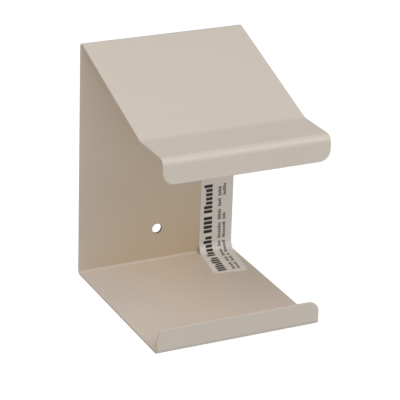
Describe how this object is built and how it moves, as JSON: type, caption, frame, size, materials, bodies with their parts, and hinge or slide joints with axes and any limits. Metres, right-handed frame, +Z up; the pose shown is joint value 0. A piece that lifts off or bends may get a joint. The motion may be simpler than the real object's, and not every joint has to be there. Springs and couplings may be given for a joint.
{
  "type": "disposable glove dispenser",
  "caption": "Wall bracket of one folded steel sheet that holds a carton of disposable gloves between a lipped shelf and a sloping roof, open at the front and sides.",
  "frame": {"origin": "on the rear face of the back, midway between the two screw holes", "axes": "+Y into the wall, +Z up, X across the width; the shelf and the mouth face -Y"},
  "size_m": [0.1142, 0.1307, 0.1638],
  "materials": {
    "powder_coated_steel": "satin beige powder coat, fine orange peel",
    "label_film": null
  },
  "bodies": {
    "root": {"bracket": "powder_coated_steel", "label": "label_film"}
  },
  "joints": []
}
